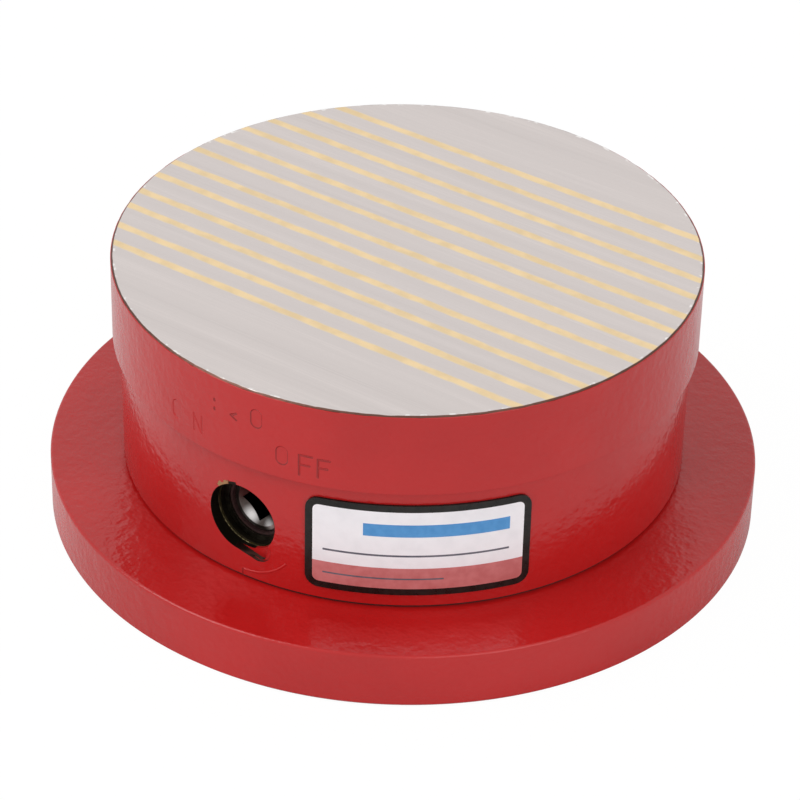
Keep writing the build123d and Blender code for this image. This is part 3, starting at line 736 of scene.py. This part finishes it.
def round_corners(bm, corners, radius):
    """Round corners of a flat face."""
    bmesh.ops.bevel(bm, geom=corners, offset=radius, segments=8, profile=0.5, affect="VERTICES", material=-1)


def thicken(bm, height):
    """Extrude a flat sheet upwards to a solid."""
    raised = bmesh.ops.extrude_face_region(bm, geom=bm.faces[:])
    bmesh.ops.translate(bm, vec=(0, 0, height), verts=verts_of(raised["geom"]))


def score(bm, place, normal):
    """Cut the faces along a plane, and keep both sides."""
    everything = bm.verts[:] + bm.edges[:] + bm.faces[:]
    bmesh.ops.bisect_plane(bm, geom=everything, plane_co=place, plane_no=normal)


def wrap_round(bm, turn, base_r, height):
    """Wrap a flat shape round the chuck's axis, with its own X along the wall, Y up and Z outwards."""
    for vert in bm.verts:
        across, up, out = vert.co
        angle = turn + across / HOUSING_R
        radius = base_r + out
        vert.co = (radius * math.sin(angle), -radius * math.cos(angle), height + up)
    bmesh.ops.recalc_face_normals(bm, faces=bm.faces)


def cut_away(bm, cutter_bm):
    """Take the cutter's closed shapes out of a bmesh, and return the rest as a new bmesh."""
    body, cutter = mesh_object("body", bm), mesh_object("cutter", cutter_bm)
    boolean = body.modifiers.new("Cut", "BOOLEAN")
    boolean.operation = "DIFFERENCE"
    boolean.solver = "EXACT"
    boolean.use_self = True
    boolean.object = cutter
    bpy.context.view_layer.update()
    evaluated = body.evaluated_get(bpy.context.evaluated_depsgraph_get())
    result = bmesh.new()
    result.from_mesh(evaluated.to_mesh())
    evaluated.to_mesh_clear()
    for piece in (body, cutter):
        data = piece.data
        bpy.data.objects.remove(piece)
        bpy.data.meshes.remove(data)
    return result


class CHUCK_OT_flange(Operator):
    """Round flange with a softly rounded rim, bored from below"""

    bl_idname = "chuck.flange"
    bl_label = "Flange"

    def execute(self, context):
        top = housing_low.z - GASKET_THICK
        outline = [
            (REGISTER_R, 0.0), (FLANGE_R - FOOT_CHAMFER, 0.0),
            (FLANGE_R, FOOT_CHAMFER), (FLANGE_R, FOOT_CHAMFER + EDGE_HOLD),
            (FLANGE_R, top - RIM_SOFT - EDGE_HOLD),
            *arc(FLANGE_R - RIM_SOFT, top - RIM_SOFT, RIM_SOFT, 0, 90, 8),
            (FLANGE_R - RIM_SOFT - EDGE_HOLD, top), (SPIGOT_R, top),
            (SPIGOT_R, flange_high.z), (REGISTER_R, flange_high.z), (REGISTER_R, REGISTER_DEPTH),
        ]
        holes = bmesh.new()
        for count, first, ring_r, hole_r, depth in FLANGE_HOLES:
            for turn in range(count):
                angle = math.radians(first + 360 / count * turn)
                middle = (ring_r * math.cos(angle), ring_r * math.sin(angle), (depth - MM) / 2)
                bmesh.ops.create_cone(
                    holes, cap_ends=True, segments=48, radius1=hole_r, radius2=hole_r,
                    depth=depth + MM, matrix=Matrix.Translation(middle),
                )
        bm = cut_away(spun(outline, 288), holes)
        # This disc is the roof of the register recess
        bmesh.ops.create_circle(
            bm, cap_ends=True, segments=288, radius=REGISTER_R,
            matrix=Matrix.Translation((0, 0, REGISTER_DEPTH)),
        )
        piece = finish_piece("flange_casting", bm, [enamel_material()])
        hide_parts("base_flange")
        return {"FINISHED"}


class CHUCK_OT_housing(Operator):
    """Housing casting, its key hole notched at the lower edge"""

    bl_idname = "chuck.housing"
    bl_label = "Housing"

    def execute(self, context):
        casting = bmesh.new()
        casting.from_mesh(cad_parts["housing"].data)
        bmesh.ops.remove_doubles(casting, verts=casting.verts, dist=1e-6)
        casting = cut_away(casting, self.notch())
        # The notch's walls beside the bore get the near-black second finish, painted shade
        casting.normal_update()
        for face in casting.faces:
            middle = face.calc_center_median()
            from_key = math.hypot(middle.x - KEY_X, middle.z - KEY_Z)
            beside_bore = MOUTH_R + 0.03 * MM < from_key < 1.6 * MOUTH_R
            near_wall = math.hypot(middle.x, middle.y) > HOUSING_R - 2.5 * MM and middle.y < 0
            if beside_bore and near_wall and abs(face.normal.y) < 0.3:
                face.material_index = 1
        materials = [housing_material(), plain_finish("Notch wall shade")]
        piece = finish_piece("housing_casting", casting, materials, 30.0)
        self.straighten(piece.data)
        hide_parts("housing")
        return {"FINISHED"}

    def straighten(self, data):
        """Point the shading normals of the round wall, the bore and the flats straight out."""
        normals = [corner.vector.copy() for corner in data.corner_normals]
        for face in data.polygons:
            flat = max(abs(face.normal.y), abs(face.normal.z)) > 0.9995
            for loop in face.loop_indices:
                spot = data.vertices[data.loops[loop].vertex_index].co
                outward = Vector((spot.x, spot.y, 0)).normalized()
                to_key = Vector((KEY_X - spot.x, 0, KEY_Z - spot.z))
                if math.hypot(spot.x, spot.y) > HOUSING_R - 0.01 * MM and outward.dot(face.normal) > 0.98:
                    normals[loop] = outward
                elif abs(to_key.length - MOUTH_R) < 0.02 * MM and to_key.normalized().dot(face.normal) > 0.97:
                    normals[loop] = to_key.normalized()
                elif flat:
                    normals[loop] = face.normal.copy()
        data.normals_split_custom_set(normals)

    def notch(self):
        """Cutter of the notch: a rectangle from the key's axis out to its lower wall, one corner round."""
        mouth = settings("mouth")
        bm = bmesh.new()
        made = bmesh.ops.create_grid(bm, x_segments=1, y_segments=1, size=0.5)
        bmesh.ops.translate(bm, vec=(0.5, -0.5, 0), verts=made["verts"])
        bmesh.ops.scale(bm, vec=(mouth.notch_length, MOUTH_R, 1), verts=made["verts"])
        corner = max(bm.verts, key=lambda vert: vert.co.x - vert.co.y)
        round_corners(bm, [corner], mouth.notch_corner)
        thicken(bm, mouth.notch_depth + NOTCH_RISE)
        stand = Matrix.Translation((KEY_X, -HOUSING_R + mouth.notch_depth, KEY_Z))
        stand = stand @ Matrix.Rotation(mouth.notch_tilt, 4, "Y") @ Matrix.Rotation(math.pi / 2, 4, "X")
        bm.transform(stand)
        bmesh.ops.recalc_face_normals(bm, faces=bm.faces)
        return bm


def glyph_strokes(letter, width, height):
    """Strokes of a stamped letter, each a start and an end point about its middle."""
    w, h = width / 2, height / 2
    upright = ((-w, -h), (-w, h))
    return {
        "F": (upright, ((-w, h), (w, h)), ((-w, 0.05 * h), (0.6 * w, 0.05 * h))),
        "N": (upright, ((-w, h), (w, -h)), ((w, -h), (w, h))),
        "<": (((w, 0.6 * h), (-w, 0.0)), ((-w, 0.0), (w, -0.6 * h))),
        ".": (((0.0, -0.08 * h), (0.0, 0.08 * h)),),
    }[letter]


def add_stroke(bm, start, end, width, depth, rise):
    """Add one straight V-shaped stroke with round ends, its floor depth below the XY plane."""
    along = Vector(end) - Vector(start)
    half = along.length / 2
    middle = (Vector(start) + Vector(end)) / 2
    turn = Matrix.Translation((middle.x, middle.y, (rise - depth) / 2))
    turn = turn @ Matrix.Rotation(math.atan2(along.y, along.x), 4, "Z")
    slope = (width / 2 - FLOOR_SHARE * width) / depth
    made = bmesh.ops.create_cone(
        bm, cap_ends=True, segments=16, radius1=FLOOR_SHARE * width,
        radius2=width / 2 + slope * rise, depth=depth + rise, matrix=turn,
    )
    back = turn.inverted()
    for vert in made["verts"]:
        local = back @ vert.co
        local.x += math.copysign(half, local.x)
        vert.co = turn @ local


def add_loop(bm, width, height, stroke, depth, rise):
    """Add the narrow V-shaped ring of a stamped O or nought."""
    slope = (stroke / 2 - FLOOR_SHARE * stroke) / depth
    rings = []
    for side in (1, -1):
        for level, grow in ((-depth, FLOOR_SHARE * stroke), (rise, stroke / 2 + slope * rise)):
            made = bmesh.ops.create_circle(bm, segments=40, radius=width / 2 + side * grow)
            for vert in made["verts"]:
                vert.co.y += math.copysign((height - width) / 2, vert.co.y)
                vert.co.z = level
            rings.append(list({edge for vert in made["verts"] for edge in vert.link_edges}))
    outer_low, outer_high, inner_low, inner_high = rings
    for first, second in (
        (outer_low, outer_high), (inner_low, inner_high), (outer_low, inner_low), (outer_high, inner_high),
    ):
        bmesh.ops.bridge_loops(bm, edges=first + second)


class CHUCK_OT_plate_enamel(Operator):
    """Enamel round the pole plate, with the stamped marks"""

    bl_idname = "chuck.plate_enamel"
    bl_label = "Plate enamel and marks"

    def execute(self, context):
        enamel = settings("enamel")
        inner = PLATE_R + COAT_PLAY
        outer = PLATE_R + enamel.coat_thickness
        low, high = PLATE_Z + COAT_LOW, FACE_Z - COAT_HIGH
        outline = [
            (inner, low + RAGGED_BAND), (inner, low),
            *arc(outer - COAT_SOFT, low + COAT_SOFT, COAT_SOFT, -90, 0, 8),
            (outer, low + COAT_HOLD), (outer, high - COAT_HOLD),
            *arc(outer - COAT_SOFT, high - COAT_SOFT, COAT_SOFT, 0, 90, 8),
            (inner, high),
        ]
        bm = spun(outline, 384)
        for vert in bm.verts:
            if vert.co.z > high - RAGGED_BAND:
                drop = sum(size * noise.noise(vert.co / pitch) for size, pitch in COAT_WAVES)
                vert.co.z += min(drop, RAGGED_RISE) * MM
        bm = cut_away(bm, self.marks(outer, enamel.coat_thickness - 0.02 * MM))
        bm.normal_update()
        # Only the slanted walls of the marks get the darker enamel, painted shade
        for face in bm.faces:
            middle = face.calc_center_median()
            radius = math.hypot(middle.x, middle.y)
            slanted = abs(face.normal.x * middle.x + face.normal.y * middle.y) < 0.9 * radius
            in_mark = inner + 0.005 * MM < radius and low + MM < middle.z < high - MM
            if slanted and in_mark and middle.x > SHADED_MARKS_FROM:
                face.material_index = 1
        materials = [enamel_material(), enamel_material(stamped=True)]
        finish_piece("plate_enamel", bm, materials, 14.0)
        return {"FINISHED"}

    def marks(self, outer, depth):
        """The stamped marks as one cutter, each mark set square to the wall at its own angle."""
        mark = settings("mark")
        cutter = bmesh.new()
        for letter, azimuth, level, scale in MARK_ROWS:
            width, height = mark.width * scale - mark.stroke, mark.height * scale - mark.stroke
            stamp = bmesh.new()
            if letter == "O":
                add_loop(stamp, width, height, mark.stroke, depth, STAMP_RISE)
            else:
                for start, end in glyph_strokes(letter, width, height):
                    add_stroke(stamp, start, end, mark.stroke, depth, STAMP_RISE)
            turn = math.radians(azimuth)
            outward = Vector((math.sin(turn), -math.cos(turn), 0))
            side = Vector((math.cos(turn), math.sin(turn), 0))
            stand = Matrix.Identity(4)
            for column, axis in enumerate((side, Vector((0, 0, 1)), outward)):
                stand.col[column].xyz = axis
            stand.translation = outward * outer + Vector((0, 0, level * MM))
            bmesh.ops.recalc_face_normals(stamp, faces=stamp.faces)
            stamp.transform(stand)
            held = bpy.data.meshes.new("stamp")
            stamp.to_mesh(held)
            stamp.free()
            cutter.from_mesh(held)
            bpy.data.meshes.remove(held)
        return cutter


class CHUCK_OT_mouth_ridge(Operator):
    """Low ridge of paint on the wall below the key hole, with a thin dark sheet of painted shade at its end
    """

    bl_idname = "chuck.mouth_ridge"
    bl_label = "Mouth ridge"

    def execute(self, context):
        mouth = settings("mouth")
        turn = (KEY_X + RIDGE_SHIFT) / HOUSING_R
        bm = bmesh.new()
        start = Matrix.Translation((0, -RIDGE_R, -RIDGE_SINK)) @ Matrix.Rotation(math.pi / 2, 4, "Y")
        made = bmesh.ops.create_circle(bm, segments=12, radius=mouth.ridge_width / 2, matrix=start)
        swept = bmesh.ops.spin(
            bm, geom=bm.verts[:] + bm.edges[:], cent=(0, 0, 0), axis=(0, 0, 1),
            angle=RIDGE_SWEEP, steps=24, use_duplicate=False,
        )
        for end in (made["verts"], verts_of(swept["geom_last"])):
            edges = {edge for vert in end for edge in vert.link_edges if edge.is_boundary}
            bmesh.ops.edgeloop_fill(bm, edges=list(edges))
        for vert in bm.verts:
            vert.co.z *= 2 * mouth.ridge_height / mouth.ridge_width
        wrap_round(bm, turn, HOUSING_R, KEY_Z)
        finish_piece("mouth_ridge", bm, [enamel_material()], 60.0)
        # A thin sheet in the darker enamel: painted shade of an edge, not a crack
        crack = bmesh.new()
        bmesh.ops.create_cube(
            crack, size=1.0, matrix=Matrix.Translation(SHADE_TICK_PLACE) @ Matrix.Diagonal(SHADE_TICK_SIZE),
        )
        bmesh.ops.subdivide_edges(crack, edges=crack.edges[:], cuts=2, use_grid_fill=True)
        wrap_round(crack, turn, HOUSING_R, KEY_Z)
        finish_piece("mouth_shade_tick", crack, [enamel_material(stamped=True)], 60.0)
        return {"FINISHED"}


class CHUCK_OT_badge(Operator):
    """Badge plate, bent to the housing's wall, with a plain printed face"""

    bl_idname = "chuck.badge"
    bl_label = "Badge"

    def execute(self, context):
        badge = settings("badge")
        bm = bmesh.new()
        made = bmesh.ops.create_grid(bm, x_segments=1, y_segments=1, size=0.5)
        bmesh.ops.scale(bm, vec=(BADGE_WIDTH, BADGE_HEIGHT, 1), verts=made["verts"])
        round_corners(bm, bm.verts[:], BADGE_CORNER)
        bmesh.ops.inset_region(
            bm, faces=bm.faces[:], thickness=badge.border, use_boundary=True, use_even_offset=True,
        )
        field = max(bm.faces, key=lambda face: face.calc_area())
        field.material_index = FIELD
        field_left, field_width = -BADGE_WIDTH / 2 + badge.border, BADGE_WIDTH - 2 * badge.border
        field_low, field_height = -BADGE_HEIGHT / 2 + badge.border, BADGE_HEIGHT - 2 * badge.border
        for left, right, low, high, ink in ((0.0, 1.0, 0.0, badge.band_share, BAND), *BADGE_PRINTS):
            left, right = (field_left + share * field_width for share in (left, right))
            low, high = (field_low + share * field_height for share in (low, high))
            for x in (left, right):
                score(bm, (x, 0, 0), (1, 0, 0))
            for y in (low, high):
                score(bm, (0, y, 0), (0, 1, 0))
            for part in bm.faces:
                middle = part.calc_center_median()
                if part.material_index != BORDER and left < middle.x < right and low < middle.y < high:
                    part.material_index = ink
        for column in range(1, BADGE_COLUMNS):
            score(bm, (-BADGE_WIDTH / 2 + BADGE_WIDTH * column / BADGE_COLUMNS, 0, 0), (1, 0, 0))
        thicken(bm, BADGE_THICK)
        wrap_round(bm, BADGE_TURN, HOUSING_R + BADGE_GAP, (badge_low.z + badge_high.z) / 2)
        inks = [plain_finish(name) for name in BADGE_INKS]
        piece = finish_piece("badge_face", bm, inks, 25.0)
        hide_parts("badge_plate")
        return {"FINISHED"}


class CHUCK_OT_finishes(Operator):
    """Materials of the working face, the key drive and the inner works"""

    bl_idname = "chuck.finishes"
    bl_label = "Finishes"

    def execute(self, context):
        assign(ground_steel_material(), PLATE_NODES)
        assign(brass_material(), STRIP_NODES)
        assign(key_steel_material(), ("key_shaft",))
        for finish, nodes in PLAIN_NODES.items():
            assign(plain_finish(finish), nodes)
        return {"FINISHED"}


class CHUCK_OT_stage(Operator):
    """Floor, room light, lamps and camera"""

    bl_idname = "chuck.stage"
    bl_label = "Stage"

    def execute(self, context):
        self.floor()
        self.room()
        self.lamps()
        self.camera()
        return {"FINISHED"}

    def floor(self):
        """Pale floor that the camera sees as white, apart from the chuck's shadow."""
        bm = bmesh.new()
        drop = Matrix.Translation((0, 0, -FLOOR_DROP))
        bmesh.ops.create_grid(bm, x_segments=1, y_segments=1, size=FLOOR_HALF, matrix=drop)
        floor = mesh_object("floor", bm)
        material, tree, shader, _ = new_material("Pale floor")
        set_inputs(tree, shader, {"Base Color": FLOOR_COLOR, "Roughness": 0.9})
        glow = add_node(tree, "ShaderNodeEmission", {"Color": (1, 1, 1, 1), "Strength": FLOOR_GLOW})
        rays = tree.nodes.new("ShaderNodeLightPath")
        share = times(tree, rays.outputs["Is Camera Ray"], GLOW_SHARE)
        both = add_node(
            tree, "ShaderNodeMixShader",
            {0: share, 1: shader.outputs["BSDF"], 2: glow.outputs["Emission"]},
        )
        tree.links.new(both.outputs[0], tree.nodes["Material Output"].inputs["Surface"])
        floor.data.materials.append(material)

    def room(self):
        """White all round for what the camera sees and mirrors, and dimmer light on the rest."""
        world = bpy.data.worlds.new("Room")
        bpy.context.scene.world = world
        world.use_nodes = True
        tree = world.node_tree
        rays = tree.nodes.new("ShaderNodeLightPath")
        seen = math_node(tree, "MAXIMUM", rays.outputs["Is Camera Ray"], rays.outputs["Is Transmission Ray"])
        gloss = times(tree, rays.outputs["Is Glossy Ray"], GLOSS_LIGHT)
        white = math_node(tree, "MAXIMUM", seen, gloss)
        strength = math_node(tree, "MAXIMUM", white, settings("stage").room_light)
        set_inputs(tree, tree.nodes["Background"], {"Color": (1, 1, 1, 1), "Strength": strength})

    def lamps(self):
        """Two large soft lamps, aimed at the chuck."""
        for name, place, size, power in LAMPS:
            lamp = bpy.data.lights.new(name, "AREA")
            lamp.size = size
            lamp.energy = power
            toward = Vector(LAMP_TARGET) - Vector(place)
            aim = toward.to_track_quat("-Z", "Y").to_matrix().to_4x4()
            add_object(name, lamp).matrix_world = Matrix.Translation(place) @ aim

    def camera(self):
        """The photo's camera."""
        stage = settings("stage")
        flat = math.cos(stage.elevation)
        away = Vector((
            math.sin(stage.azimuth) * flat, -math.cos(stage.azimuth) * flat, math.sin(stage.elevation),
        ))
        lens = bpy.data.cameras.new("photo camera")
        lens.lens = stage.lens
        lens.sensor_width = SENSOR_WIDTH
        lens.shift_x, lens.shift_y = (pixels / PHOTO_SIZE for pixels in PHOTO_SHIFT)
        lens.clip_start = 0.01
        holder = add_object("photo camera", lens)
        look = (-away).to_track_quat("-Z", "Y").to_matrix().to_4x4()
        roll = Matrix.Rotation(stage.roll, 4, "Z")
        place = Vector(CAMERA_TARGET) + away * stage.distance
        holder.matrix_world = Matrix.Translation(place) @ look @ roll
        bpy.context.scene.camera = holder


class CHUCK_PT_panel(Panel):
    """Lists the steps that build the chuck's looks"""

    bl_label = "Magnetic chuck"
    bl_idname = "CHUCK_PT_panel"
    bl_space_type = "VIEW_3D"
    bl_region_type = "UI"
    bl_category = "Chuck"

    def draw(self, context):
        for name in SETTING_GROUPS:
            box = self.layout.box()
            box.label(text=name.capitalize())
            group = settings(name)
            for prop in group.bl_rna.properties:
                if prop.identifier not in ("rna_type", "name"):
                    box.prop(group, prop.identifier)
        for operator in OPERATORS:
            self.layout.operator(operator.bl_idname)


SETTING_GROUPS = {
    "enamel": EnamelProperties,
    "face": FaceProperties,
    "mark": MarkProperties,
    "mouth": MouthProperties,
    "badge": BadgeProperties,
    "stage": StageProperties,
}
OPERATORS = (
    CHUCK_OT_flange,
    CHUCK_OT_housing,
    CHUCK_OT_plate_enamel,
    CHUCK_OT_mouth_ridge,
    CHUCK_OT_badge,
    CHUCK_OT_finishes,
    CHUCK_OT_stage,
)


def register():
    for name, group in SETTING_GROUPS.items():
        bpy.utils.register_class(group)
        setattr(bpy.types.Scene, "chuck_" + name, PointerProperty(type=group))
    for operator in OPERATORS:
        bpy.utils.register_class(operator)
    bpy.utils.register_class(CHUCK_PT_panel)


def unregister():
    bpy.utils.unregister_class(CHUCK_PT_panel)
    for operator in reversed(OPERATORS):
        bpy.utils.unregister_class(operator)
    for name, group in SETTING_GROUPS.items():
        delattr(bpy.types.Scene, "chuck_" + name)
        bpy.utils.unregister_class(group)


def main():
    """Build every piece in order."""
    register()
    for operator in OPERATORS:
        family, name = operator.bl_idname.split(".")
        getattr(getattr(bpy.ops, family), name)()
    bpy.context.scene.view_settings.view_transform = "Standard"


if __name__ == "__main__":
    main()
